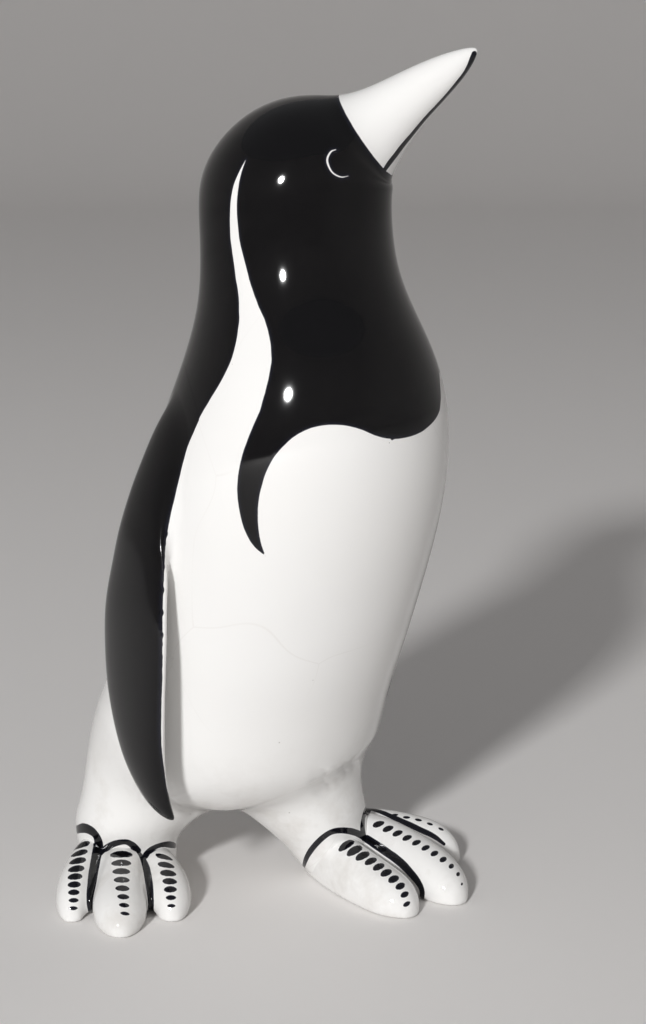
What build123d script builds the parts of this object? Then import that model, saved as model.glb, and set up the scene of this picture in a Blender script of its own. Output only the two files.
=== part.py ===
"""Glazed earthenware penguin figurine, striding with its head turned to its left.

The figure faces -Y, its right side is -X and it stands on Z = 0, with the origin under
the middle of its outline. Lengths are millimetres and angles are degrees. The pieces are
castings that the maker joined with slip, face to face, before the one glaze firing.
"""

import os
from math import cos, radians, sin

from build123d import *

# Where the trunk's axis stands, from the middle of the outline
spine_side = 3.3
spine_forward = 7.0

# Trunk: a hollow casting that leans forward from the rump up to the breast
neck_height = 158.0
trunk_radius = 35.0
lean = 30.0
wall = 3.5
vent_radius = 3.5
overrun = 3.0

# Trunk rings: height in neck heights, radius in trunk radii, place forward in leans
trunk_shares = (
    (0.110, 0.29, -0.66),
    (0.117, 0.50, -0.65),
    (0.133, 0.70, -0.60),
    (0.156, 0.85, -0.55),
    (0.184, 0.965, -0.49),
    (0.212, 1.015, -0.41),
    (0.253, 1.01, -0.33),
    (0.300, 0.99, -0.225),
    (0.386, 0.977, -0.02),
    (0.475, 0.988, 0.13),
    (0.557, 1.00, 0.27),
    (0.633, 1.00, 0.37),
    (0.709, 0.97, 0.46),
    (0.778, 0.895, 0.54),
    (0.842, 0.80, 0.55),
    (0.900, 0.70, 0.50),
    (0.950, 0.645, 0.43),
    (1.000, 0.625, 0.40),
)

# Cavity rings: the same measures, each drawn in by the wall
cavity_shares = (
    (0.142, 0.50, -0.60),
    (0.165, 0.84, -0.52),
    (0.212, 0.99, -0.42),
    (0.300, 0.99, -0.225),
    (0.475, 0.988, 0.13),
    (0.633, 1.00, 0.37),
    (0.778, 0.895, 0.54),
    (0.900, 0.70, 0.50),
    (1.000, 0.625, 0.40),
)

# Head: a hollow casting, turned to the figure's left about the neck's axis
head_turn = 36.0
head_radius = 22.0

# Head rings: place along the gaze, height over the neck joint, half height and
# half width in head radii, then the tilt of the ring
head_shares = (
    ((-0.02, 0.00, 1.00, 1.00), 0.0),
    ((-0.02, 0.36, 0.99, 0.99), 4.0),
    ((0.02, 0.57, 0.965, 0.965), 8.0),
    ((0.10, 0.73, 0.91, 0.92), 15.0),
    ((0.24, 0.88, 0.81, 0.84), 26.0),
    ((0.42, 0.965, 0.695, 0.74), 38.0),
    ((0.60, 0.985, 0.57, 0.60), 49.0),
    ((0.72, 0.985, 0.48, 0.44), 59.0),
)
head_cavity_shares = (
    ((-0.02, 0.00, 1.00, 1.00), 0.0),
    ((0.00, 0.45, 0.96, 0.96), 6.0),
    ((0.15, 0.72, 0.72, 0.72), 18.0),
    ((0.24, 0.80, 0.36, 0.36), 26.0),
)

# Beak: a solid casting raised along the gaze
beak_length = 31.0
beak_shares = (
    ((0.000, 0.00, 0.340, 0.310), 59.0),
    ((0.142, 0.116, 0.270, 0.240), 68.0),
    ((0.332, 0.277, 0.212, 0.180), 76.0),
    ((0.535, 0.426, 0.155, 0.125), 80.0),
    ((0.684, 0.523, 0.103, 0.080), 83.0),
    ((0.775, 0.595, 0.045, 0.035), 84.0),
    ((0.797, 0.612, 0.015, 0.012), 84.0),
)

# Flippers: solid blades that hang from the shoulders and stand clear of the flanks; the top
# is given in neck heights
flipper_length = 98.0
flipper_top_share = 0.7975
flipper_side = 38.0
flipper_chord = 25.0
flipper_thickness = 6.6
flipper_yaw = 10.0

# The left flipper's tip swings back and stands further out, against the left leg's stride
left_swing = 16.0
left_spread = 3.0

# Flipper rings: drop from the top in lengths, place outward in flipper sides, place forward
# in chords, then chord and thickness in their own measures
flipper_shares = (
    (0.000, 0.645, 0.07, 0.35, 0.50),
    (0.071, 0.763, 0.19, 0.59, 0.88),
    (0.122, 0.816, 0.17, 0.64, 1.00),
    (0.214, 0.868, 0.06, 0.67, 1.03),
    (0.337, 0.934, -0.03, 0.80, 1.03),
    (0.418, 0.961, -0.03, 0.94, 1.00),
    (0.520, 0.982, -0.05, 1.07, 0.97),
    (0.582, 0.995, -0.04, 1.10, 0.95),
    (0.694, 1.021, -0.01, 1.04, 0.91),
    (0.765, 1.029, 0.02, 0.94, 0.88),
    (0.827, 1.034, 0.07, 0.82, 0.85),
    (0.888, 1.032, 0.13, 0.69, 0.79),
    (0.944, 1.016, 0.22, 0.50, 0.70),
    (0.978, 1.003, 0.31, 0.37, 0.58),
    (0.994, 0.995, 0.38, 0.22, 0.36),
    (1.000, 0.989, 0.43, 0.10, 0.20),
)

# Legs: stubs that rise from the heel and flare into the rump, so that the arch between them is
# round. Rings give height in leg heights, then radius, place ahead and place towards the other
# leg in leg radii.
leg_height = 33.0
leg_radius = 12.0
right_leg_shares = (
    (0.00, 0.82, 0.12, 0.00),
    (0.05, 0.94, 0.12, 0.00),
    (0.27, 1.03, 0.04, 0.00),
    (0.425, 1.20, 0.00, 0.12),
    (0.57, 1.44, 0.00, 0.38),
    (0.67, 1.46, 0.00, 0.475),
    (0.82, 1.30, 0.00, 0.37),
    (1.00, 1.25, 0.00, 0.375),
)
left_leg_shares = (
    (0.00, 0.58, 0.29, -0.04),
    (0.05, 0.72, 0.27, -0.02),
    (0.245, 0.90, 0.17, 0.03),
    (0.41, 1.12, 0.04, 0.22),
    (0.55, 1.36, 0.00, 0.51),
    (0.67, 1.34, 0.00, 0.575),
    (0.82, 1.30, 0.00, 0.45),
    (1.00, 1.33, 0.00, 0.375),
)

# Each foot: leg place, heading outward and reach to the middle toe's tip
right_leg_side = -22.0
right_leg_forward = -25.3
right_heading = 42.0
right_reach = 40.0
left_leg_side = 16.0
left_leg_forward = 4.5
left_heading = 10.0
left_reach = 42.5

# Toes: rounded lobes, cut flat by the floor. Rings run from root to tip, inner toe first:
# place outward and ahead in reaches, half width in toe widths and top in toe heights.
toe_width = 13.0
toe_height = 14.0
toe_core_share = 0.35
right_toe_shares = (
    (
        (-0.08, 0.00, 0.38, 0.82),
        (-0.21, 0.31, 0.43, 0.76),
        (-0.27, 0.56, 0.41, 0.63),
        (-0.29, 0.675, 0.31, 0.49),
        (-0.295, 0.73, 0.18, 0.33),
        (-0.30, 0.755, 0.08, 0.18),
    ),
    (
        (0.00, 0.00, 0.42, 1.00),
        (0.02, 0.375, 0.51, 0.87),
        (0.015, 0.71, 0.51, 0.69),
        (-0.005, 0.91, 0.34, 0.44),
        (-0.012, 0.96, 0.18, 0.29),
        (-0.015, 0.98, 0.08, 0.17),
    ),
    (
        (0.10, 0.00, 0.38, 1.04),
        (0.25, 0.31, 0.41, 0.89),
        (0.295, 0.56, 0.38, 0.67),
        (0.30, 0.665, 0.29, 0.50),
        (0.305, 0.72, 0.18, 0.33),
        (0.305, 0.745, 0.08, 0.18),
    ),
)
left_toe_shares = (
    (
        (0.01, -0.07, 0.40, 0.93),
        (-0.13, 0.235, 0.49, 0.88),
        (-0.25, 0.60, 0.51, 0.69),
        (-0.285, 0.745, 0.41, 0.54),
        (-0.30, 0.805, 0.26, 0.38),
        (-0.305, 0.84, 0.10, 0.21),
    ),
    (
        (0.07, 0.05, 0.46, 0.96),
        (0.14, 0.40, 0.54, 0.84),
        (0.08, 0.73, 0.51, 0.68),
        (0.03, 0.866, 0.42, 0.54),
        (0.007, 0.93, 0.26, 0.38),
        (-0.005, 0.965, 0.10, 0.21),
    ),
    (
        (0.14, -0.02, 0.38, 0.93),
        (0.36, 0.19, 0.45, 0.83),
        (0.48, 0.39, 0.43, 0.69),
        (0.53, 0.494, 0.35, 0.54),
        (0.55, 0.546, 0.23, 0.37),
        (0.56, 0.574, 0.09, 0.21),
    ),
)

# Tail: a short solid nub under the back
tail_length = 17.0
tail_width = 20.0
tail_height = 31.0
tail_shares = ((0.0, 1.0, 0.62, 0.0), (0.55, 0.80, 0.45, -0.12), (0.88, 0.50, 0.28, -0.26), (1.0, 0.22, 0.12, -0.32))


def ring_plane(forward, height, side=0):
    """A level plane at a place given from the trunk's axis."""
    return Plane(origin=(spine_side + side, -spine_forward - forward, height))


def head_plane(along, rise, tilt):
    """A plane across the head, its X to the crown, at a place given from the neck joint."""
    ahead = Vector(sin(radians(head_turn)), -cos(radians(head_turn)), 0)
    neck = Vector(spine_side, -spine_forward - lean * trunk_shares[-1][2], neck_height)
    crown = ahead * -cos(radians(tilt)) + Vector(0, 0, sin(radians(tilt)))
    normal = ahead * sin(radians(tilt)) + Vector(0, 0, cos(radians(tilt)))
    return Plane(origin=neck + ahead * along + Vector(0, 0, rise), x_dir=crown, z_dir=normal)


# Trunk's outer form, kept whole to trim what seats on it
with BuildPart() as trunk_form:
    for height, radius, forward in trunk_shares:
        with BuildSketch(ring_plane(lean * forward, neck_height * height)):
            Circle(trunk_radius * radius)
    loft(ruled=True)

with BuildPart() as trunk_cavity:
    for height, radius, forward in cavity_shares:
        with BuildSketch(ring_plane(lean * forward, neck_height * height)):
            Circle(trunk_radius * radius - wall)
    loft(ruled=True)

with BuildPart() as trunk_shell:
    add(trunk_form.part)
    add(trunk_cavity.part, mode=Mode.SUBTRACT)
    with BuildSketch(ring_plane(lean * cavity_shares[0][2], neck_height * cavity_shares[0][0] + overrun)):
        Circle(vent_radius)
    extrude(amount=-neck_height * cavity_shares[0][0] - overrun, mode=Mode.SUBTRACT)

with BuildPart() as head_cavity:
    for (along, rise, half_height, half_width), tilt in head_cavity_shares:
        with BuildSketch(head_plane(head_radius * along, head_radius * rise, tilt)):
            Ellipse(head_radius * half_height - wall, head_radius * half_width - wall)
    loft(ruled=True)

with BuildPart() as head_shell:
    for (along, rise, half_height, half_width), tilt in head_shares:
        with BuildSketch(head_plane(head_radius * along, head_radius * rise, tilt)):
            Ellipse(head_radius * half_height, head_radius * half_width)
    loft(ruled=True)
    add(head_cavity.part, mode=Mode.SUBTRACT)

with BuildPart() as beak:
    beak_along, beak_rise = (head_radius * share for share in head_shares[-1][0][:2])
    for (along, rise, half_height, half_width), tilt in beak_shares:
        with BuildSketch(head_plane(beak_along + beak_length * along, beak_rise + beak_length * rise, tilt)):
            Ellipse(beak_length * half_height, beak_length * half_width)
    loft(ruled=True)


def make_flipper(hand, swing, spread):
    """A flipper, trimmed to seat on the trunk; hand is -1 for the right and 1 for the left."""
    with BuildPart() as flipper:
        for drop, outward, forward, chord, thickness in flipper_shares:
            place = ring_plane(
                flipper_chord * forward - swing * drop**2,
                neck_height * flipper_top_share - flipper_length * drop,
                hand * (flipper_side * outward + spread * drop**2),
            )
            with BuildSketch(place.rotated((0, 0, hand * flipper_yaw))):
                Ellipse(flipper_thickness / 2 * thickness, flipper_chord / 2 * chord)
        loft(ruled=True)
        add(trunk_form.part, mode=Mode.SUBTRACT)
    return flipper.part


def make_foot(hand, side, forward, heading, reach, leg_rings, toes):
    """A leg stub and three toes in one casting, trimmed to seat under the rump."""
    turn = radians(heading) * hand
    ahead = Vector(sin(turn), -cos(turn), 0)
    outward = Vector(cos(turn), sin(turn), 0) * hand
    across = Vector(left_leg_side - right_leg_side, right_leg_forward - left_leg_forward, 0).normalized()
    base = Vector(spine_side + side, -spine_forward - forward, 0)
    with BuildPart() as foot:
        for height, share, lead, flare in leg_rings:
            origin = base + (ahead * lead - across * hand * flare) * leg_radius + Vector(0, 0, leg_height * height)
            with BuildSketch(Plane(origin=origin, x_dir=ahead, z_dir=(0, 0, 1))):
                Circle(leg_radius * share)
        loft(ruled=True)
        for rings in toes:
            spots = [base + (outward * outer + ahead * along) * reach for outer, along, width, top in rings]
            way = (spots[-1] - spots[0]).normalized()
            for spot, (outer, along, width, top) in zip(spots, rings):
                centre = spot + Vector(0, 0, toe_height * top * toe_core_share)
                with BuildSketch(Plane(origin=centre, x_dir=(0, 0, 1), z_dir=way)):
                    Ellipse(toe_height * top * (1 - toe_core_share), toe_width * width)
            loft(ruled=True)
        split(bisect_by=Plane.XY, keep=Keep.TOP)
        add(trunk_form.part, mode=Mode.SUBTRACT)
    return foot.part


right_flipper = make_flipper(-1, 0, 0)
left_flipper = make_flipper(1, left_swing, left_spread)
right_foot = make_foot(
    -1, right_leg_side, right_leg_forward, right_heading, right_reach, right_leg_shares, right_toe_shares
)
left_foot = make_foot(
    1, left_leg_side, left_leg_forward, left_heading, left_reach, left_leg_shares, left_toe_shares
)

with BuildPart() as tail:
    rump_back = trunk_radius * trunk_shares[5][1] - lean * trunk_shares[5][2]
    for along, width, thickness, drop in tail_shares:
        back = rump_back - overrun + tail_length * along
        place = ring_plane(-back, tail_height + tail_length * drop).origin
        with BuildSketch(Plane(origin=place, x_dir=(1, 0, 0), z_dir=(0, 1, 0))):
            Ellipse(tail_width / 2 * width, tail_width / 2 * thickness)
    loft(ruled=True)
    add(trunk_form.part, mode=Mode.SUBTRACT)

os.makedirs("parts", exist_ok=True)
pieces = {
    "trunk_shell": trunk_shell.part,
    "head_shell": head_shell.part,
    "beak": beak.part,
    "right_flipper": right_flipper,
    "left_flipper": left_flipper,
    "right_foot": right_foot,
    "left_foot": left_foot,
    "tail": tail.part,
}
for name, piece in pieces.items():
    piece.label = name
    export_step(piece, f"parts/{name}.step")
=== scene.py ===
"""A slip-cast, glazed earthenware penguin figurine on pale paper, under one soft lamp.

The frame is in metres. The figure faces -Y and its right side is -X.
"""

import math

import bmesh
import bpy
import numpy as np
from mathutils import Matrix, Vector
from mathutils.bvhtree import BVHTree


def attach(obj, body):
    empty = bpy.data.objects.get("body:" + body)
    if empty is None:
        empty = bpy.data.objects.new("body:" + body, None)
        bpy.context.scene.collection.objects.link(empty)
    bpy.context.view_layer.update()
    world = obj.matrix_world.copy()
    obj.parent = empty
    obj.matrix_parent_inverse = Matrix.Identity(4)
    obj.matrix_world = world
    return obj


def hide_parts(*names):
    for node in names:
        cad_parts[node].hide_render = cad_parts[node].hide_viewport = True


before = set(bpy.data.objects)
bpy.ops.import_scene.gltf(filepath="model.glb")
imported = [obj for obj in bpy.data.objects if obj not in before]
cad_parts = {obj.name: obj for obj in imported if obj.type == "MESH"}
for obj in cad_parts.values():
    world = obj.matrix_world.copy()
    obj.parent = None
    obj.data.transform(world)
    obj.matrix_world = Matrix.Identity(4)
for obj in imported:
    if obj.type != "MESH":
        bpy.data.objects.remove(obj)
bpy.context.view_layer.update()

# Camera: at the height of the head, half a metre from the figure's right front, looking a
# little down. It comes first because the brushwork is placed along its lines of sight.
mm = 0.001
axis_x, axis_y = 3.3 * mm, -7.0 * mm  # the figure's upright axis
camera_away, camera_height = 480 * mm, 190 * mm
camera_side = math.radians(42.0)
camera_data = bpy.data.cameras.new("camera")
camera_data.lens = 72.63
camera_data.sensor_width = 36.0
camera_data.clip_start = 0.01
camera = bpy.data.objects.new("camera", camera_data)
camera.location = (
    axis_x - camera_away * math.sin(camera_side),
    axis_y - camera_away * math.cos(camera_side),
    camera_height,
)
camera.rotation_euler = (math.radians(78.5), 0, -math.radians(43.71))
bpy.context.scene.collection.objects.link(camera)
bpy.context.scene.camera = camera
bpy.context.scene.view_settings.view_transform = "Standard"
bpy.context.view_layer.update()


# Body casting: one hollow pour from the rump up to the beak's tip, in white earthenware.
# It is drawn as rings, each an extrusion of the last, and smoothed by subdivision.
def ring(origin, crown, normal, long, wide):
    """Where a unit circle goes, its X to the crown and its Z to the normal."""
    side = normal.cross(crown)
    place = Matrix((crown * long, side * wide, normal * mm)).transposed().to_4x4()
    place.translation = origin
    return place


def add_piece(name, mesh):
    """The mesh as an object of the scene."""
    piece = bpy.data.objects.new(name, mesh)
    bpy.context.scene.collection.objects.link(piece)
    return piece


def open_up(piece):
    """A piece's mesh, to be worked on."""
    form = bmesh.new()
    form.from_mesh(piece.data)
    return form


def put_back(form, mesh):
    """Store the worked form in a mesh."""
    form.to_mesh(mesh)
    form.free()


def extend(form, rim):
    """Extrude an open rim where it stands, and give the new rim's points and edges."""
    grown = bmesh.ops.extrude_edge_only(form, edges=rim)["geom"]
    verts = [item for item in grown if isinstance(item, bmesh.types.BMVert)]
    fresh = set(verts)
    return verts, [edge for edge in form.edges if edge.verts[0] in fresh and edge.verts[1] in fresh]


def settle(piece):
    """Put what the modifiers make into the piece's own mesh."""
    done = piece.evaluated_get(bpy.context.evaluated_depsgraph_get())
    mesh = bpy.data.meshes.new_from_object(done)
    piece.modifiers.clear()
    piece.data = mesh


def casting(name, rings, around):
    """A closed form through the rings, with its subdivision settled into the mesh."""
    form = bmesh.new()
    bmesh.ops.create_circle(form, segments=around, radius=1)
    bmesh.ops.transform(form, matrix=rings[0], verts=form.verts)
    rim = form.edges[:]
    bmesh.ops.edgeloop_fill(form, edges=rim)
    for last, place in zip(rings, rings[1:]):
        verts, rim = extend(form, rim)
        bmesh.ops.transform(form, matrix=place @ last.inverted(), verts=verts)
    bmesh.ops.edgeloop_fill(form, edges=rim)
    bmesh.ops.recalc_face_normals(form, faces=form.faces)
    mesh = bpy.data.meshes.new(name)
    put_back(form, mesh)
    piece = add_piece(name, mesh)
    smooth = piece.modifiers.new("smooth", "SUBSURF")
    smooth.levels = smooth.render_levels = 2
    settle(piece)
    return piece


up = Vector((0, 0, 1))
head_turn = math.radians(36.0)
gaze = Vector((math.sin(head_turn), -math.cos(head_turn), 0))
neck_joint = Vector((axis_x, axis_y - 12.0 * mm, 158 * mm))

# Height, radius and place forward of each trunk ring, in millimetres
trunk_rings = (
    (18.7, 1.0, -20.0),
    (18.8, 6.0, -20.0),
    (19.3, 13.4, -19.5),
    (21.4, 24.0, -18.0),
    (24.6, 30.2, -16.4),
    (29.0, 34.1, -14.7),
    (33.5, 35.7, -12.3),
    (40.0, 35.6, -9.9),
    (47.4, 34.8, -6.8),
    (54.0, 34.4, -3.7),
    (61.0, 34.3, -0.6),
    (75.0, 34.8, 4.0),
    (88.0, 35.2, 8.1),
    (100.0, 35.2, 11.2),
    (112.0, 34.15, 13.9),
    (123.0, 31.4, 16.3),
    (133.0, 28.0, 16.6),
    (142.0, 24.5, 15.0),
    (150.0, 22.5, 13.0),
    (158.0, 21.9, 12.0),
)

# Place along the gaze, height over the neck joint, half height, half width and tilt
head_rings = (
    (-0.4, 8.0, 22.0, 22.0, 4),
    (0.4, 12.6, 21.5, 21.5, 8),
    (2.2, 16.2, 20.4, 20.5, 15),
    (5.3, 19.6, 18.2, 18.8, 26),
    (9.2, 21.4, 15.6, 16.6, 38),
    (13.2, 21.8, 12.9, 13.4, 49),
    (15.8, 21.7, 10.8, 9.9, 59),
    (20.2, 25.3, 8.5, 7.5, 68),
    (26.1, 30.3, 6.7, 5.7, 76),
    (32.4, 34.9, 4.95, 4.0, 80),
    (37.0, 37.9, 3.3, 2.6, 83),
    (39.8, 40.1, 1.55, 1.2, 84),
    (40.6, 40.7, 0.5, 0.4, 84),
)


def head_ring(along, rise, long, wide, tilt):
    """A ring across the head, from the neck joint's middle."""
    tilt = math.radians(tilt)
    origin = neck_joint + gaze * along * mm + up * rise * mm
    crown = up * math.sin(tilt) - gaze * math.cos(tilt)
    normal = gaze * math.sin(tilt) + up * math.cos(tilt)
    return ring(origin, crown, normal, long * mm, wide * mm)


body_rings = [
    ring(Vector((axis_x, axis_y - forward * mm, height * mm)), -gaze, up, radius * mm, radius * mm)
    for height, radius, forward in trunk_rings
]
body_rings += [head_ring(*row) for row in head_rings]
body = casting("body", body_rings, 48)

# Legs: solid earthenware stubs, luted under the trunk with slip. They flare into it, so that
# the arch between them is round. Each stance is the hand (1 is the left), the place to the
# left and forward in millimetres, and the degrees that the foot is turned out.
right_stance = (-1, -22.0, -25.3, 42)
left_stance = (1, 16.0, 4.5, 10)
stride = Vector((38.0, -29.8, 0)).normalized()

# Height, radius, then place ahead and place towards the other leg, in millimetres
right_leg_rings = (
    (0.3, 9.6, 1.5, 0.0),
    (1.2, 11.0, 1.5, 0.0),
    (5.0, 11.7, 1.0, 0.0),
    (9.0, 12.1, 0.5, -0.3),
    (12.0, 12.8, 0.0, -0.3),
    (15.0, 14.6, 0.0, 1.4),
    (18.5, 16.9, 0.0, 4.1),
    (22.0, 17.3, 0.0, 5.5),
    (27.0, 15.8, 0.0, 4.6),
    (32.0, 14.4, 0.0, 4.5),
    (36.0, 11.0, 0.0, 5.5),
)
left_leg_rings = (
    (0.3, 6.8, 3.5, -0.5),
    (1.2, 8.2, 3.5, -0.4),
    (4.0, 9.6, 3.0, 0.0),
    (8.0, 11.2, 2.0, 0.7),
    (12.0, 13.0, 1.0, 2.4),
    (15.0, 15.0, 0.0, 4.6),
    (18.5, 16.4, 0.8, 6.8),
    (22.0, 16.5, 1.6, 8.2),
    (26.0, 16.1, 2.0, 7.8),
    (30.0, 13.8, 1.6, 7.8),
    (34.0, 9.0, 1.0, 8.4),
)


def footing(hand, side, forward, heading):
    """A foot's place on the floor, and its ways ahead and outward."""
    turn = math.radians(heading) * hand
    base = Vector((axis_x + side * mm, axis_y - forward * mm, 0))
    ahead = Vector((math.sin(turn), -math.cos(turn), 0))
    outward = Vector((math.cos(turn), math.sin(turn), 0)) * hand
    return base, ahead, outward


def leg(name, stance, rows):
    """A leg stub whose rings lean ahead and towards the other leg."""
    base, ahead, _ = footing(*stance)
    places = []
    for height, radius, lead, lean in rows:
        centre = base + (up * height + ahead * lead - stride * stance[0] * lean) * mm
        places.append(ring(centre, ahead, up, radius * mm, radius * mm))
    return casting(name, places, 32)


right_leg = leg("right_leg", right_stance, right_leg_rings)
left_leg = leg("left_leg", left_stance, left_leg_rings)

# Tail: a short solid nub of the same clay, luted under the back.
# Place back from the trunk's axis, drop, half width and half thickness, in millimetres.
tail_rings = (
    (38.0, 0.0, 10.0, 6.5),
    (44.0, 0.6, 9.6, 6.0),
    (50.0, 1.8, 8.2, 4.9),
    (55.0, 3.2, 6.4, 3.8),
    (59.0, 4.5, 4.4, 2.6),
    (61.2, 5.3, 2.4, 1.5),
    (61.8, 5.5, 0.8, 0.6),
)
tail_height = 31
back = Vector((0, 1, 0))
tail_places = [
    ring(Vector((axis_x, axis_y + away * mm, (tail_height - drop) * mm)), -up, back, thick * mm, wide * mm)
    for away, drop, wide, thick in tail_rings
]
tail = casting("tail", tail_places, 24)


# Joints: the legs and the tail are fixed to the trunk with slip, which is wiped into a fillet.
# The upper body keeps its clean rings, and the lower body becomes one skin with what it takes.
def cut(form, height, keep_top):
    """Trim a form at a level, and give the open rim's edges."""
    made = bmesh.ops.bisect_plane(
        form, geom=form.verts[:] + form.edges[:] + form.faces[:], plane_co=(0, 0, height), plane_no=(0, 0, 1),
        clear_inner=keep_top, clear_outer=not keep_top,
    )["geom_cut"]
    return [edge for edge in made if isinstance(edge, bmesh.types.BMEdge)]


def surface(piece):
    """The piece's surface, to measure from."""
    form = open_up(piece)
    tree = BVHTree.FromBMesh(form)
    form.free()
    return tree


def soften(form, verts, passes):
    """Even the points out towards their neighbours."""
    for _ in range(passes):
        bmesh.ops.smooth_vert(
            form, verts=verts, factor=0.5, use_axis_x=True, use_axis_y=True, use_axis_z=True
        )


def fuse(name, pieces, voxel, reach, passes, last=4):
    """One closed skin around the pieces. Each point settles on the piece that it came from, and
    within reach of a second one it is smoothed, which makes the fillet. The last passes blend
    the fillet's rim."""
    union = bmesh.new()
    surfaces = []
    for part in pieces:
        union.from_mesh(part.data)
        surfaces.append(surface(part))
        bpy.data.objects.remove(part)
    mesh = bpy.data.meshes.new(name)
    put_back(union, mesh)
    piece = add_piece(name, mesh)
    skin = piece.modifiers.new("skin", "REMESH")
    skin.mode = "VOXEL"
    skin.voxel_size = voxel
    settle(piece)
    form = open_up(piece)
    seam = 1.2 * mm  # this near to a second piece, a point is left to the smoothing
    joint = []
    for vert in form.verts:
        found = [tree.find_nearest(vert.co, reach) for tree in surfaces]
        found = sorted((hit for hit in found if hit[0] is not None), key=lambda hit: hit[3])
        if len(found) == 1 or found and found[1][3] > seam:
            vert.co = found[0][0]
        if len(found) > 1:
            # Smoothed in full at the joint, easing off to nothing at the end of the reach
            share = min(1.0, 1.6 * (1 - found[1][3] / reach))
            joint.append((vert, vert.co.copy(), share * share * (3 - 2 * share)))
    for rounds, widen in ((passes, 1), (last, 3)):
        soften(form, [vert for vert, _, _ in joint], rounds)
        for vert, crisp, share in joint:
            vert.co = crisp.lerp(vert.co, min(1.0, widen * share))
        joint = [(vert, vert.co.copy(), share) for vert, _, share in joint]
    put_back(form, piece.data)
    return piece


lower = add_piece("lower", body.data.copy())
form = open_up(lower)
bmesh.ops.edgeloop_fill(form, edges=cut(form, 70 * mm, False))
put_back(form, lower.data)
lower = fuse(
    "lower", [lower, right_leg, left_leg, tail], voxel=0.75 * mm, reach=11.0 * mm, passes=180, last=22
)
form = open_up(lower)
cut(form, 58 * mm, False)

# The vent in the underside, as deep as the wall is thick
vent = Vector((axis_x, axis_y + 18 * mm))
vent_radius = wall = 3.5 * mm
plug = [
    face for face in form.faces
    if face.normal.z < -0.5 and (face.calc_center_median().xy - vent).length < vent_radius
]
bmesh.ops.delete(form, geom=plug, context="FACES")
rim = [edge for edge in form.edges if edge.is_boundary and edge.verts[0].co.z < 40 * mm]
for vert in {vert for edge in rim for vert in edge.verts}:
    vert.co.xy = vent + (vert.co.xy - vent).normalized() * vent_radius
verts, rim = extend(form, rim)
bmesh.ops.translate(form, vec=(0, 0, wall), verts=verts)
bmesh.ops.edgeloop_fill(form, edges=rim)

# The upper body, from just above the cut, is bridged to the lower one
shell = open_up(body)
cut(shell, 60 * mm, True)
put_back(shell, body.data)
bpy.data.objects.remove(lower)
form.from_mesh(body.data)
bmesh.ops.bridge_loops(form, edges=[edge for edge in form.edges if edge.is_boundary])
bmesh.ops.recalc_face_normals(form, faces=form.faces)
put_back(form, body.data)
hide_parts("trunk_shell", "head_shell", "beak", "tail")
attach(body, "root")

# Flippers: solid blades pressed in the same clay and luted to the shoulders with slip. The
# left one swings further back and out. Drop from the top of the shoulder, place outward and
# forward, half chord and half thickness, in millimetres.
flipper_rings = (
    (0.0, 23.8, 2.0, 1.2, 0.4),
    (1.5, 25.0, 2.6, 3.6, 1.2),
    (7.0, 29.0, 4.8, 7.4, 2.9),
    (12.0, 31.0, 4.2, 8.0, 3.3),
    (21.0, 33.0, 1.5, 8.4, 3.4),
    (33.0, 35.7, -0.5, 10.1, 3.3),
    (41.0, 37.0, -0.3, 11.9, 2.95),
    (46.0, 37.8, -0.4, 12.9, 2.75),
    (51.0, 38.5, -0.4, 13.7, 2.7),
    (57.0, 39.0, -0.2, 14.1, 2.7),
    (68.0, 39.5, 0.1, 13.3, 2.7),
    (75.0, 39.6, 0.8, 12.1, 2.7),
    (81.0, 39.7, 1.8, 10.7, 2.65),
    (87.0, 39.6, 3.2, 9.0, 2.5),
    (92.5, 39.1, 5.4, 6.7, 2.2),
    (95.8, 38.6, 7.5, 4.9, 1.8),
    (97.4, 38.2, 9.3, 3.0, 1.2),
    (98.0, 38.0, 10.4, 1.2, 0.6),
)
flipper_top, flipper_length = 126, 98
flipper_yaw = math.radians(10)
fillet = 4.0 * mm  # how far it reaches from the blade
left_swing, left_spread = 16, 3
body_surface = surface(body)


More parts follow.
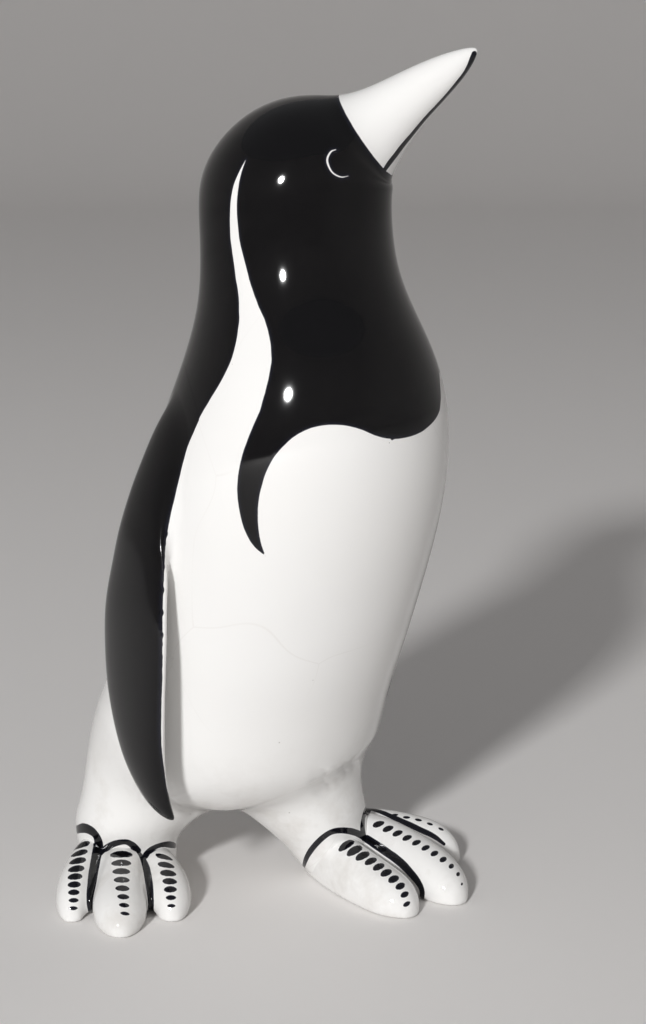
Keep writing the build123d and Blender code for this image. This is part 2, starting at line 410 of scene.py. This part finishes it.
def flipper(name, hand, swing, spread):
    """A blade on the left, hand 1, or the right, hand -1, its tip swung back and out."""
    yaw = flipper_yaw * hand
    chord = Vector((math.sin(yaw), -math.cos(yaw), 0))
    places = []
    for drop, outward, forward, half_chord, half_thick in flipper_rings:
        share = (drop / flipper_length) ** 2
        origin = Vector((
            axis_x + hand * (outward + spread * share) * mm,
            axis_y - (forward - swing * share) * mm,
            (flipper_top - drop) * mm,
        ))
        places.append(ring(origin, chord, -up, half_chord * mm, half_thick * mm))
    blade = casting("blade", places, 24)
    blade_surface = surface(blade)

    # A slab of the body lends the blade its fillet, and then most of it is taken off again
    slab = add_piece("slab", body.data.copy())
    form = open_up(slab)
    bmesh.ops.edgeloop_fill(form, edges=cut(form, 64 * mm, True))
    bmesh.ops.edgeloop_fill(form, edges=cut(form, 137 * mm, False))
    half = bmesh.ops.bisect_plane(
        form, geom=form.verts[:] + form.edges[:] + form.faces[:], plane_co=(axis_x + hand * 8 * mm, 0, 0),
        plane_no=(hand, 0, 0), clear_inner=True,
    )["geom_cut"]
    bmesh.ops.edgeloop_fill(form, edges=[edge for edge in half if isinstance(edge, bmesh.types.BMEdge)])
    put_back(form, slab.data)
    piece = fuse(name, [slab, blade], voxel=0.5 * mm, reach=fillet, passes=80, last=8)
    form = open_up(piece)
    spare = []
    # What stands proud of the body stays, and what lies inside it or far from the blade goes
    for vert in form.verts:
        skin, normal, _, _ = body_surface.find_nearest(vert.co)
        height = (vert.co - skin).dot(normal)
        away = blade_surface.find_nearest(vert.co)[3]
        if height > 0.03 * mm:
            continue
        if height < -0.3 * mm or away > 8.5 * mm:
            spare.append(vert)
            continue
        # The fillet's rim lies on the body's skin, and then slips just under it
        share = min(1.0, max(0.0, (away - fillet) / (2.5 * mm)))
        vert.co = skin + normal * (0.02 - 0.22 * share) * mm
    bmesh.ops.delete(form, geom=spare, context="VERTS")

    # The root is closed inside the shoulder
    verts, rim = extend(form, [edge for edge in form.edges if edge.is_boundary])
    bmesh.ops.translate(form, vec=(-hand * 2 * mm, 0, 0), verts=verts)
    bmesh.ops.edgeloop_fill(form, edges=rim)
    bmesh.ops.recalc_face_normals(form, faces=form.faces)
    bmesh.ops.delete(form, geom=[vert for vert in form.verts if not vert.link_faces], context="VERTS")
    put_back(form, piece.data)
    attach(piece, "root")
    return piece


right_flipper = flipper("flipper_r", -1, 0, 0)
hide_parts("right_flipper")
left_flipper = flipper("flipper_l", 1, left_swing, left_spread)
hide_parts("left_flipper")

# Feet: each has three rounded toes of solid clay, side by side with shallow grooves between
# them, joined to the leg with slip. Place outward and ahead from the leg, half width and
# height of each ring, in millimetres.
right_toes = (
    ((-3.0, 0.0, 5.0, 11.5), (-6.5, 7.0, 5.4, 11.0), (-8.8, 13.5, 5.6, 10.6), (-10.2, 19.0, 5.6, 9.8),
     (-11.0, 23.5, 5.2, 8.6), (-11.5, 27.0, 4.0, 6.8), (-11.8, 29.2, 2.4, 4.6), (-11.9, 30.2, 1.0, 2.6)),
    ((0.0, 0.0, 5.5, 14.0), (0.6, 8.0, 6.2, 13.4), (0.8, 15.0, 6.6, 12.2), (0.8, 22.0, 6.8, 10.8),
     (0.6, 28.5, 6.7, 9.6), (0.2, 33.0, 6.0, 8.2), (-0.2, 36.4, 4.4, 6.2), (-0.5, 38.4, 2.4, 4.0),
     (-0.6, 39.2, 1.0, 2.4)),
    ((4.0, 0.0, 5.0, 14.5), (8.2, 7.0, 5.2, 13.8), (10.3, 13.0, 5.2, 12.4), (11.2, 18.5, 5.1, 10.8),
     (11.6, 23.0, 4.7, 9.2), (11.8, 26.6, 3.6, 7.0), (11.9, 28.8, 2.2, 4.6), (11.9, 29.8, 1.0, 2.6)),
)
left_toes = (
    ((0.5, -3.0, 5.2, 13.0), (-2.2, 3.0, 6.0, 13.0), (-5.6, 10.0, 6.4, 12.3), (-8.2, 17.0, 6.6, 11.2),
     (-10.0, 23.0, 6.7, 10.2), (-11.3, 28.0, 6.5, 9.1), (-12.2, 31.6, 5.4, 7.6), (-12.7, 34.2, 3.5, 5.4),
     (-12.9, 35.7, 1.4, 3.0)),
    ((3.0, 2.0, 6.0, 14.5), (6.5, 8.0, 7.0, 14.8), (6.3, 15.0, 7.3, 14.1), (5.5, 21.0, 7.2, 13.0),
     (4.3, 27.0, 7.0, 11.8), (2.8, 32.5, 6.5, 10.2), (1.3, 36.5, 5.4, 8.1), (0.3, 39.2, 3.4, 5.6),
     (-0.2, 40.6, 1.4, 3.0)),
    ((6.0, -1.0, 5.0, 13.2), (11.0, 3.0, 5.6, 13.4), (15.5, 8.0, 5.8, 12.8), (18.5, 13.0, 5.8, 11.7),
     (20.7, 17.5, 5.4, 10.8), (22.0, 21.2, 4.3, 9.0), (22.7, 23.8, 2.8, 6.4), (23.0, 25.2, 1.2, 3.6)),
)

floor_gap = 0.15 * mm  # the soles are cut flat just clear of the floor


def foot(name, node, stance, toes):
    """Three toes in one piece, each a run of upright rings that the floor cuts flat."""
    base, ahead, outward = footing(*stance)
    forms = []
    for number, rows in enumerate(toes):
        spots = [base + (outward * out + ahead * along) * mm for out, along, _, _ in rows]
        places = []
        for step, (_, _, half, top) in enumerate(rows):
            way = spots[min(step + 1, len(rows) - 1)] - spots[max(step - 1, 0)]
            centre = spots[step] + up * top * 0.35 * mm
            places.append(ring(centre, up, way.normalized(), top * 0.65 * mm, half * mm))
        toe = casting(f"{name}_toe_{number}", places, 24)
        form = open_up(toe)
        bmesh.ops.edgeloop_fill(form, edges=cut(form, floor_gap, True))
        put_back(form, toe.data)
        forms.append(toe)
    piece = fuse(name, forms, voxel=0.5 * mm, reach=3.4 * mm, passes=45)
    form = open_up(piece)
    soften(form, [vert for vert in form.verts if vert.co.z > 1.5 * mm], 8)
    put_back(form, piece.data)
    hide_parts(node)
    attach(piece, "root")
    return piece


right_foot = foot("foot_r", "right_foot", right_stance, right_toes)
left_foot = foot("foot_l", "left_foot", left_stance, left_toes)


# Brushwork: black slip, laid on by hand before the clear glaze. Each point of a piece keeps
# its distance from the nearest edge of the black, in millimetres and negative inside it.
def flow(points, steps=6):
    """A smooth line through the points."""
    points = np.array(points, float)
    ends = np.vstack([2 * points[0] - points[1], points, 2 * points[-1] - points[-2]])
    line = []
    for a, b, c, d in zip(ends, ends[1:], ends[2:], ends[3:]):
        for t in np.linspace(0, 1, steps, endpoint=False):
            line.append(b + 0.5 * t * (c - a + t * (2 * a - 5 * b + 4 * c - d + t * (3 * (b - c) + d - a))))
    return np.array(line + [points[-1]])


def clearance(points, line, half=0.0, reach=4 * mm):
    """How far each point lies from a line of the given half width, negative within it. The
    line is taken in short runs, each against the points within reach of it."""
    half = np.broadcast_to(half, len(line))
    best = np.full(len(points), 1.0)
    pace = 10
    for first in range(0, len(line) - 1, pace):
        run = line[first:first + pace + 1]
        near = np.flatnonzero(((points > run.min(0) - reach) & (points < run.max(0) + reach)).all(axis=1))
        close = points[near]
        least = best[near]
        for start, end, thin, thick in zip(run[:-1], run[1:], half[first:], half[first + 1:]):
            way = end - start
            share = np.clip((close - start) @ way / max(way @ way, 1e-12), 0, 1)
            away = np.linalg.norm(close - start - share[:, None] * way, axis=1)
            least = np.minimum(least, away - thin - share * (thick - thin))
        best[near] = least
    return best


in_sight = [body_surface, surface(right_foot), surface(left_foot), surface(right_flipper)]
sight = camera.matrix_world.to_quaternion()
middle_across, middle_down, focal = 323, 512, 2066  # in points of the picture


def spot(across, down):
    """Where the line of sight through a point of the 646 by 1024 picture meets the figure."""
    way = sight @ Vector(((across - middle_across) / focal, (middle_down - down) / focal, -1))
    hits = [tree.ray_cast(camera.location, way) for tree in in_sight]
    hits = [hit for hit in hits if hit[0] is not None]
    if not hits:
        return None
    return np.array(min(hits, key=lambda hit: hit[3])[0])


def stroke(points, halves, steps=5):
    """A brush stroke through points of the picture, with its half width in millimetres at each."""
    path = flow([(x, y, h) for (x, y), h in zip(points, halves)], steps)
    found = [(spot(x, y), h * mm) for x, y, h in path]
    found = [(place, half) for place, half in found if place is not None]
    return np.array([place for place, _ in found]), np.array([half for _, half in found])


def bars(ridge, count, lengths, girths, slants):
    """Short strokes across a toe, evenly spaced along its ridge. Half lengths, half widths and
    slants run evenly too, and the widths are made up for the slope of the toe."""
    path = flow(ridge, 8)
    run = np.concatenate([[0], np.cumsum(np.linalg.norm(np.diff(path, axis=0), axis=1))])
    # Along the bar, and the share of its half width there
    belly = ((-1, 0.25), (-0.75, 0.62), (-0.4, 0.9), (0, 1), (0.4, 0.9), (0.75, 0.62), (1, 0.25))
    rows = []
    for number in range(count):
        share = number / (count - 1)
        x, y = (np.interp(share * run[-1], run, path[:, axis]) for axis in (0, 1))
        length, girth, slant = (
            np.interp(share, np.linspace(0, 1, len(values)), values) for values in (lengths, girths, slants)
        )
        dx, dy = math.cos(math.radians(slant)), -math.sin(math.radians(slant))
        sides = [spot(x + side * dy * girth, y - side * dx * girth) for side in (1, -1)]
        if sides[0] is None or sides[1] is None:
            continue
        middle = (sides[0] + sides[1]) / 2
        half = min(np.linalg.norm(sides[0] - sides[1]) / (2 * mm), 0.19 * length)
        reach = max(length - 0.2 * girth, 0.4)
        line, halves = stroke(
            [(x + along * reach * dx, y + along * reach * dy) for along, _ in belly],
            [half * part for _, part in belly],
            1,
        )
        on_toe = np.linalg.norm(line - middle, axis=1) < 3 * mm
        rows.append((line[on_toe], halves[on_toe]))
    return rows


# The outlines of the toes: right foot, outer toe first, then the left foot, inner toe first
toe_strokes = [
    stroke(
        [(74.7, 830.3), (83.4, 828.1), (91.0, 830.8), (96.4, 836.3), (98.6, 843.9), (96.9, 852.5),
         (94.8, 863.4), (93.1, 874.2), (91.9, 890.5), (91.3, 901.0), (91.5, 908.0), (91.8, 914.0)],
        [0.9, 1.2, 1.3, 1.3, 1.3, 1.25, 1.2, 1.2, 1.2, 1.15, 1.0, 0.6],
    ),
    stroke(
        [(100.2, 854.0), (106.5, 848.0), (114.8, 843.6), (125.0, 841.9), (132.2, 844.9), (138.7, 852.5),
         (143.0, 860.0), (147.2, 874.0), (150.0, 896.0), (151.6, 918.5)],
        [0.6, 0.8, 0.85, 0.9, 0.9, 0.9, 0.95, 1.0, 0.95, 0.8],
    ),
    stroke(
        [(144.8, 857.0), (149.5, 850.5), (157.0, 846.2), (164.7, 844.2), (171.5, 844.8), (175.5, 846.0)],
        [0.75, 0.85, 0.85, 0.85, 0.8, 0.6],
    ),
    stroke(
        [(302.4, 872.5), (306.2, 858.3), (314.2, 846.2), (323.6, 836.9), (332.9, 831.5), (345.0, 830.5),
         (357.0, 833.2), (369.1, 840.4), (383.8, 850.3), (398.6, 861.0), (410.6, 873.0), (418.9, 883.7),
         (422.2, 892.8), (420.0, 903.0)],
        [0.35, 0.6, 0.75, 0.85, 0.85, 0.8, 0.85, 1.0, 1.05, 1.05, 1.05, 1.0, 0.85, 0.4],
    ),
    stroke(
        [(363.7, 836.2), (362.6, 826.2), (364.4, 814.1), (369.4, 809.0), (381.2, 811.9), (390.5, 816.0),
         (403.9, 822.0), (420.0, 829.5), (434.0, 836.4), (444.0, 844.0)],
        [1.2, 1.2, 1.2, 0.95, 0.85, 0.8, 0.8, 0.75, 0.65, 0.4],
    ),
]

# The bars in the same order: ridge and number, then half lengths, half widths and slants
toe_bars = (
    ([(80.6, 845.2), (76.6, 865.3), (74.2, 884.0), (73.4, 908.2)], 9,
     (8.2, 8.0, 6.0, 4.4), (2.3, 3.4, 3.3, 2.0), (22, 10, 2, 0)),
    ([(121.2, 854.2), (121.6, 878.0), (125.0, 913.6)], 8,
     (10.5, 7.4, 5.7, 4.6), (3.5, 3.1, 2.9, 1.9), (0, 0, -3, -8)),
    ([(164.2, 856.9), (169.4, 880.0), (171.4, 905.8)], 7,
     (8.6, 7.3, 6.2, 4.0), (2.2, 3.3, 3.3, 1.9), (-20, -10, 0, 0)),
    ([(346.4, 845.0), (379.1, 867.0), (401.2, 887.0), (406.8, 904.0)], 10,
     (9.0, 6.0, 5.4, 3.9), (3.5, 4.3, 3.9, 2.4), (38, 34, 36, 30)),
    ([(378.5, 824.0), (422.7, 846.0), (453.5, 868.0), (461.9, 884.0)], 11,
     (5.6, 4.6, 4.0, 1.6), (4.7, 4.0, 3.5, 1.7), (22, 30, 40, 60)),
    ([(394.5, 815.0), (421.6, 820.8), (441.0, 829.0)], 5,
     (3.6, 3.2, 2.6), (1.4, 1.4, 1.2), (10, -10, -20)),
)
for row in toe_bars:
    toe_strokes += bars(*row)

trunk_heights = [height for height, _, _ in trunk_rings]
trunk_leads = [lead for _, _, lead in trunk_rings]


def twist(height):
    """How far the face has turned to the left at a height, in degrees. It starts to turn at the
    breast and has turned in full by the eyes."""
    share = np.clip((np.asarray(height) - 116) / 60, 0, 1)
    return -36 * share * share * (3 - 2 * share)


def bearing(points):
    """Degrees round from the breast to the right side, and the height in millimetres."""
    height = points[:, 2] / mm
    lead = np.interp(height, trunk_heights, trunk_leads) * mm
    return np.degrees(np.arctan2(axis_x - points[:, 0], axis_y - points[:, 1] - lead)), height


# From the shoulder down, the back's black ends along the front of the right flipper
wing_line = flow([
    (221.8, 380), (210.5, 397), (201.2, 415.5), (194.3, 431), (188.0, 446), (183.3, 462),
    (180.0, 476), (177.0, 488), (174.5, 499), (171.7, 511), (168.8, 525), (166.2, 540),
    (164.9, 558), (163.9, 577), (163.1, 596), (162.7, 616), (162.6, 643), (162.3, 681),
    (161.3, 718), (161.6, 746), (163.9, 767), (166.9, 788), (170.9, 802), (174.6, 811),
], 3)
wing_edge = np.array([spot(across, down) for across, down in wing_line])
wing_angle, wing_height = bearing(wing_edge)

# The edge of the black in degrees round from the breast to the right side, and millimetres up.
# The bib hangs in a tip under each wing. From there the edge runs up the front of the white
# stripe to its point behind the eye, and back down to the shoulder, the flank and the tail.
bib_edge = [
    (-50.5, 90.8), (-53.5, 94.5), (-56.0, 100.0), (-57.0, 107.0), (-56.0, 113.5), (-53.0, 119.5),
    (-48.0, 124.5), (-43.0, 127.3), (-38.0, 127.8), (-33.0, 126.0), (-29.3, 123.2), (-25.0, 120.5),
    (-20.0, 118.9), (-14.0, 117.7), (-7.0, 116.6), (0, 116.1), (7, 116.1), (14.6, 117.0), (22, 118.8),
    (29, 119.9), (36, 120.1), (42.3, 119.4), (47.7, 117.7), (52.5, 114.6), (55.2, 111.3), (56.5, 107.3),
    (56.7, 102.8), (55.5, 98.2), (53.3, 94.0), (50.5, 90.8),
]
stripe_front = [
    (50.5, 90.8), (56.0, 93.4), (60.7, 97.4), (63.5, 101.4), (65.6, 105.8), (66.4, 110.4),
    (66.0, 115.0), (64.6, 119.8), (63.0, 124.2), (61.5, 129.0), (61.0, 133.8), (61.7, 137.9),
    (64.3, 141.6), (68.6, 145.7), (74.0, 153.0), (77.3, 158.3), (79.0, 164.0), (78.9, 168.3),
    (78.1, 172.3), (76.7, 175.5),
]
stripe_back = [
    (76.7, 175.5), (79.9, 172.7), (82.7, 169.2), (83.9, 165.2), (84.1, 160.8), (83.1, 156.0),
    (81.3, 151.2), (79.6, 146.9), (79.2, 143.0), (79.0, 140.2), (80.2, 135.4),
] + [
    (float(angle), float(height)) for angle, height in zip(wing_angle, wing_height) if 93 < height < 131
][::5] + [
    (94.5, 88.0), (96.5, 80.0), (101.0, 72.0), (110.0, 64.0), (124.0, 57.0), (140.0, 51.0), (155.0, 45.0),
    (167.0, 37.0), (175.0, 29.0), (180.0, 24.0),
]
bib_edge, stripe_front, stripe_back = flow(bib_edge), flow(stripe_front), flow(stripe_back)
for line in (bib_edge, stripe_front, stripe_back):
    line[:, 0] -= twist(line[:, 1])
right_half = np.vstack([stripe_front[1:], stripe_back[1:]])
shoulder_drop, shoulder_radius = 36, 36


def shoulder_swing(height, swing):
    """How far a flipper's swing takes its edge back round the shoulder, in degrees."""
    drop = np.clip(flipper_top - height, 0, shoulder_drop)
    return np.degrees(swing * (drop / flipper_length) ** 2 / shoulder_radius)


# The left flipper is swung further back, and takes the edge with it down to the flank
above_flank = np.clip((stripe_back[1:, 1] - 60) / 30, 0, 1)
stripe_back[1:, 0] += shoulder_swing(stripe_back[1:, 1], left_swing) * above_flank
left_half = np.vstack([stripe_front[1:], stripe_back[1:]])[::-1] * (-1, 1)
black_edge = np.vstack([left_half, bib_edge, right_half])


def on_body(angle, height):
    """The point of the body at an angle and a height."""
    lead = np.interp(height, trunk_heights, trunk_leads)
    turn = math.radians(angle)
    middle = Vector((axis_x, axis_y - lead * mm, height * mm))
    out = Vector((-math.sin(turn), -math.cos(turn), 0))
    hit = body_surface.ray_cast(middle + out * 0.09, -out)[0]
    return np.array(hit if hit is not None else middle + out * 0.02)


edge_line = np.array([on_body(twist(height) + angle, height) for angle, height in black_edge])

# The white of the beak starts at a plane across its base, and a black line marks where it opens
beak_tilt = math.radians(55.8)
beak_way = np.array(gaze * math.sin(beak_tilt) + up * math.cos(beak_tilt))
beak_base = np.array(neck_joint + gaze * 16.3 * mm + up * 22.0 * mm)
head_side = np.array(gaze.cross(up))
head_middle = np.array((axis_x, axis_y - 12.0 * mm, 0))


def both_sides(line, half):
    """The stroke, and the same one on the head's other side."""
    return (line, half), (line - 2 * ((line - head_middle) @ head_side)[:, None] * head_side, half)


mouth = stroke(
    [(382.5, 173.0), (389.0, 163.5), (396.0, 154.7), (403.0, 145.5), (411.0, 136.0), (425.5, 118.5),
     (444.0, 98.5), (459.5, 80.5), (468.5, 68.0), (474.5, 54.0)],
    [0.6, 0.85, 0.95, 0.95, 0.92, 0.85, 0.8, 0.85, 0.88, 0.7],
)
eye = stroke(
    [(336.0, 149.6), (331.0, 151.6), (327.3, 158.8), (328.6, 165.9), (333.0, 173.0), (341.0, 177.0),
     (348.4, 176.0)],
    [0.05, 0.12, 0.21, 0.2, 0.15, 0.11, 0.05],
)
speck_spots = ((388, 443), (325, 545), (208, 541))
specks = [stroke([(x, y), (x + 1.2, y + 0.6)], [0.22, 0.18], 1) for x, y in speck_spots]


def body_ink(points):
    """Distance from the black of the body, head, beak and ankles."""
    angle, height = bearing(points)
    angle = (angle - twist(height) + 180) % 360 - 180
    white = np.zeros(len(points), bool)
    under = [(181, black_edge[-1, 1]), (181, -30), (-181, -30), (-181, black_edge[0, 1])]
    loop = np.vstack([black_edge, under])
    for (x0, y0), (x1, y1) in zip(loop, np.roll(loop, -1, axis=0)):
        if y0 == y1:
            continue
        level = np.flatnonzero((y0 > height) != (y1 > height))
        white[level] ^= angle[level] < (x1 - x0) * (height[level] - y0) / (y1 - y0) + x0
    edge = clearance(points, edge_line)
    ink = np.where(white, edge, -edge)
    ink = np.maximum(ink, (points - beak_base) @ beak_way)
    for line, half in both_sides(*mouth):
        ink = np.minimum(ink, clearance(points, line, half))
    for line, half in both_sides(*eye):
        ink = np.maximum(ink, -clearance(points, line, half))
    for line, half in toe_strokes + specks:
        ink = np.minimum(ink, clearance(points, line, half))
    return ink


def foot_ink(points):
    """Distance from the strokes on the toes."""
    ink = np.full(len(points), 1.0)
    for line, half in toe_strokes:
        ink = np.minimum(ink, clearance(points, line, half))
    return ink


def flipper_frame(points, hand, swing, spread):
    """Where points lie ahead and outward of the blade's middle, and how far down it."""
    yaw = flipper_yaw * hand
    chord = np.array((math.sin(yaw), -math.cos(yaw), 0))
    outer = hand * np.array((math.cos(yaw), math.sin(yaw), 0))
    rows = np.array(flipper_rings)
    drop = flipper_top - points[:, 2] / mm
    share = (np.clip(drop, 0, flipper_length) / flipper_length) ** 2
    out = np.interp(drop, rows[:, 0], rows[:, 1]) + spread * share
    lead = np.interp(drop, rows[:, 0], rows[:, 2]) - swing * share
    middle = np.stack([axis_x + hand * out * mm, axis_y - lead * mm, points[:, 2]], axis=1)
    return (points - middle) @ chord / mm, (points - middle) @ outer / mm, drop


_, wing_out, wing_drop = flipper_frame(wing_edge, -1, 0, 0)


def flipper_ink(hand, swing, spread):
    """Black on the outer face and round the shoulder, white clay showing along the front edge."""
    def ink(points):
        ahead, out, drop = flipper_frame(points, hand, swing, spread)
        front = np.interp(drop, wing_drop, wing_out)
        # The brush wavered along the free part of the front edge
        free = np.clip((drop - 22) / 6, 0, 1) * np.clip((62 - drop) / 8, 0, 1)
        waver = np.sin(1.9 * drop) * np.sin(0.73 * drop + 0.7)
        front -= 0.2 * free * np.maximum(0, waver)
        back = np.interp(drop, (30, 50), (-7.0, -0.4))
        share = np.clip(0.5 + ahead / 8, 0, 1)
        blade = back + (front - back) * share - out
        # Round the shoulder the black ends where the back's black does
        angle, height = bearing(points)
        shoulder = np.interp(-height, -wing_height, wing_angle) + hand * angle
        shoulder += shoulder_swing(height, swing)
        shoulder *= math.radians(1) * shoulder_radius
        share = np.clip((height - 93) / 5, 0, 1)
        return (blade + (shoulder - blade) * share) * mm

    return ink


def paint(piece, ink, bands):
    """Divide the mesh along the edges of the black, then store the distances on its points."""
    form = open_up(piece)
    for band in bands:
        spots = np.array([vert.co for vert in form.verts])
        near = np.abs(ink(spots)) < band * mm
        form.verts.index_update()
        edges = [edge for edge in form.edges if any(near[vert.index] for vert in edge.verts)]
        bmesh.ops.subdivide_edges(form, edges=edges, cuts=1, use_grid_fill=True)
    bmesh.ops.triangulate(form, faces=form.faces)
    put_back(form, piece.data)
    spots = np.empty(len(piece.data.vertices) * 3, np.float32)
    piece.data.vertices.foreach_get("co", spots)
    layer = piece.data.attributes.new("ink", "FLOAT", "POINT")
    distances = ink(spots.reshape(-1, 3).astype(float)) / mm
    layer.data.foreach_set("value", distances.astype(np.float32))


paint(body, body_ink, (0.8, 0.36))
paint(right_foot, foot_ink, (0.5, 0.25))
paint(left_foot, foot_ink, (0.5, 0.25))
paint(right_flipper, flipper_ink(-1, 0, 0), (0.7, 0.35))
paint(left_flipper, flipper_ink(1, left_swing, left_spread), (0.7, 0.35))

# Glaze: warm white earthenware and black slip under one thick clear coat that pulls thin
# over edges, wavers a little and has crazed with age
glaze = bpy.data.materials.new("glaze")
glaze.use_nodes = True
nodes = glaze.node_tree.nodes
links = glaze.node_tree.links
shader = nodes["Principled BSDF"]
place = nodes.new("ShaderNodeTexCoord").outputs["Object"]


def node(kind, **values):
    """A shader node with its settings, and its inputs by name or number."""
    made = nodes.new(kind)
    for name, value in values.items():
        if name.startswith("in_"):
            key = name[3:]
            socket = made.inputs[int(key)] if key.isdigit() else made.inputs[key.replace("_", " ")]
            if isinstance(value, bpy.types.NodeSocket):
                links.new(value, socket)
            else:
                socket.default_value = value
        else:
            setattr(made, name, value)
    return made


def noise(scale, detail, **values):
    """Cloudy variation over the piece."""
    return node("ShaderNodeTexNoise", in_Vector=place, in_Scale=scale, in_Detail=detail, **values)


def reckon(operation, *terms):
    """One step of arithmetic on values."""
    values = {f"in_{number}": term for number, term in enumerate(terms)}
    return node("ShaderNodeMath", operation=operation, **values).outputs[0]


def fade(value, low, high, start, end, curve="LINEAR"):
    """Runs from start to end while the value goes from low to high."""
    span = {"in_0": value, "in_1": low, "in_2": high, "in_3": start, "in_4": end}
    return node("ShaderNodeMapRange", interpolation_type=curve, **span).outputs[0]


def tint(share, under, over):
    """One colour over another."""
    return node("ShaderNodeMix", data_type="RGBA", in_0=share, in_6=under, in_7=over).outputs[2]


# The brush edge is a little ragged, and the slip is thinner and bluer towards it
ink = node("ShaderNodeAttribute", attribute_name="ink").outputs["Fac"]
ragged = reckon("MULTIPLY_ADD", noise(420.0, 2.0).outputs["Fac"], 0.16, -0.08)
edge = reckon("ADD", ink, ragged)
mask = fade(edge, -0.07, 0.07, 1.0, 0.0, "SMOOTHSTEP")
thin = fade(edge, -0.9, -0.1, 0.0, 1.0, "SMOOTHSTEP")
black_slip, thin_slip = (0.0028, 0.0026, 0.0032, 1), (0.009, 0.0095, 0.016, 1)
slip = tint(thin, black_slip, thin_slip)

# The clay is clouded, with crazing in patches, painted shade low on the legs and a few dark pits
cloud = noise(28.0, 3.0).outputs["Fac"]
dull_clay, pale_clay = (0.82, 0.81, 0.792, 1), (0.862, 0.858, 0.848, 1)
clay = tint(cloud, dull_clay, pale_clay)
drift = noise(22.0, 1.0).outputs["Color"]
bend = (0.045, 0.045, 0.045)
bent = node("ShaderNodeVectorMath", operation="MULTIPLY_ADD", in_0=drift, in_1=bend, in_2=place).outputs[0]
crack = node("ShaderNodeTexVoronoi", feature="DISTANCE_TO_EDGE", in_Vector=bent, in_Scale=19.0)
craze = fade(crack.outputs["Distance"], 0.0, 0.0036, 0.11, 0.0)
patches = fade(cloud, 0.46, 0.62, 0.0, 1.0)
craze_brown = (0.42, 0.36, 0.30, 1)
clay = tint(reckon("MULTIPLY", craze, patches), clay, craze_brown)
# Painted shade: the clay is darkened brown in noisy patches towards the floor, low on the legs and body
height = node("ShaderNodeSeparateXYZ", in_Vector=place).outputs["Z"]
low = fade(height, 0.012, 0.05, 1.0, 0.0, "SMOOTHSTEP")
painted_shade_patches = fade(noise(95.0, 4.0, in_Roughness=0.62).outputs["Fac"], 0.50, 0.74, 0.0, 0.34)
painted_shade_brown = (0.47, 0.43, 0.38, 1)
clay = tint(reckon("MULTIPLY", painted_shade_patches, low), clay, painted_shade_brown)
pit = node("ShaderNodeTexVoronoi", in_Vector=place, in_Scale=115.0).outputs["Distance"]
pit_brown = (0.25, 0.22, 0.20, 1)
clay = tint(fade(pit, 0.018, 0.034, 0.5, 0.0), clay, pit_brown)
links.new(tint(mask, clay, slip), shader.inputs["Base Color"])

# The glaze is glossy, swells softly and stands a little higher over the black
links.new(fade(cloud, 0.3, 0.7, 0.05, 0.085), shader.inputs["Roughness"])
swell = reckon("MULTIPLY_ADD", mask, 0.10, noise(48.0, 1.0).outputs["Fac"])
bump = node("ShaderNodeBump", in_Strength=0.35, in_Distance=0.0005, in_Height=swell)
links.new(bump.outputs[0], shader.inputs["Normal"])
shader.inputs["IOR"].default_value = 1.43
for piece in (body, right_flipper, left_flipper, right_foot, left_foot):
    piece.data.materials.clear()
    piece.data.materials.append(glaze)
    piece.data.shade_smooth()

# Backdrop: a wide round of pale paper, level under the figure, that curves up in a cove to a
# wall well away from it. Its profile is spun round the figure's axis.
floor_reach, cove_radius, wall_top = 3.0, 0.9, 3.4
profile = [(0.0, 0.0), (1.2, 0.0), (floor_reach, 0.0)]
for turn in np.radians(np.arange(10, 91, 10)):
    profile.append((floor_reach + cove_radius * math.sin(turn), cove_radius - cove_radius * math.cos(turn)))
profile.append((floor_reach + cove_radius, wall_top))
sheet = bmesh.new()
points = [sheet.verts.new((axis_x, axis_y + away, rise)) for away, rise in profile]
lines = [sheet.edges.new(pair) for pair in zip(points, points[1:])]
bmesh.ops.spin(
    sheet, geom=points + lines, cent=(axis_x, axis_y, 0), axis=(0, 0, 1),
    angle=2 * math.pi, steps=96, use_merge=True,
)
bmesh.ops.remove_doubles(sheet, verts=sheet.verts, dist=0.0001)
bmesh.ops.recalc_face_normals(sheet, faces=sheet.faces)
if sum(face.normal.z * face.calc_area() for face in sheet.faces) < 0:
    bmesh.ops.reverse_faces(sheet, faces=sheet.faces)
mesh = bpy.data.meshes.new("backdrop")
put_back(sheet, mesh)
mesh.shade_smooth()
backdrop = add_piece("backdrop", mesh)
paper = bpy.data.materials.new("paper")
paper.use_nodes = True
paper_shader = paper.node_tree.nodes["Principled BSDF"]
paper_shader.inputs["Base Color"].default_value = (0.86, 0.84, 0.825, 1)
paper_shader.inputs["Roughness"].default_value = 0.8
mesh.materials.append(paper)

# Light: a dim even room, and one small soft lamp well behind the camera and to its left,
# which throws the shadow to the right and sets three small highlights on the black
room = bpy.data.worlds.new("room")
room.use_nodes = True
sky = room.node_tree.nodes["Background"]
sky.inputs["Color"].default_value = (0.97, 0.98, 1.0, 1)
sky.inputs["Strength"].default_value = 0.2
bpy.context.scene.world = room

lamp_place, lamp_target = Vector((-1.95, -1.06, 1.04)), Vector((0, 0, 0.1))
lamp_data = bpy.data.lights.new("key", "AREA")
lamp_data.shape = "DISK"
lamp_data.size = 0.24
lamp_data.energy = 47.0
lamp = bpy.data.objects.new("key", lamp_data)
lamp.location = lamp_place
lamp.rotation_euler = (lamp_target - lamp_place).to_track_quat("-Z", "Y").to_euler()
bpy.context.scene.collection.objects.link(lamp)
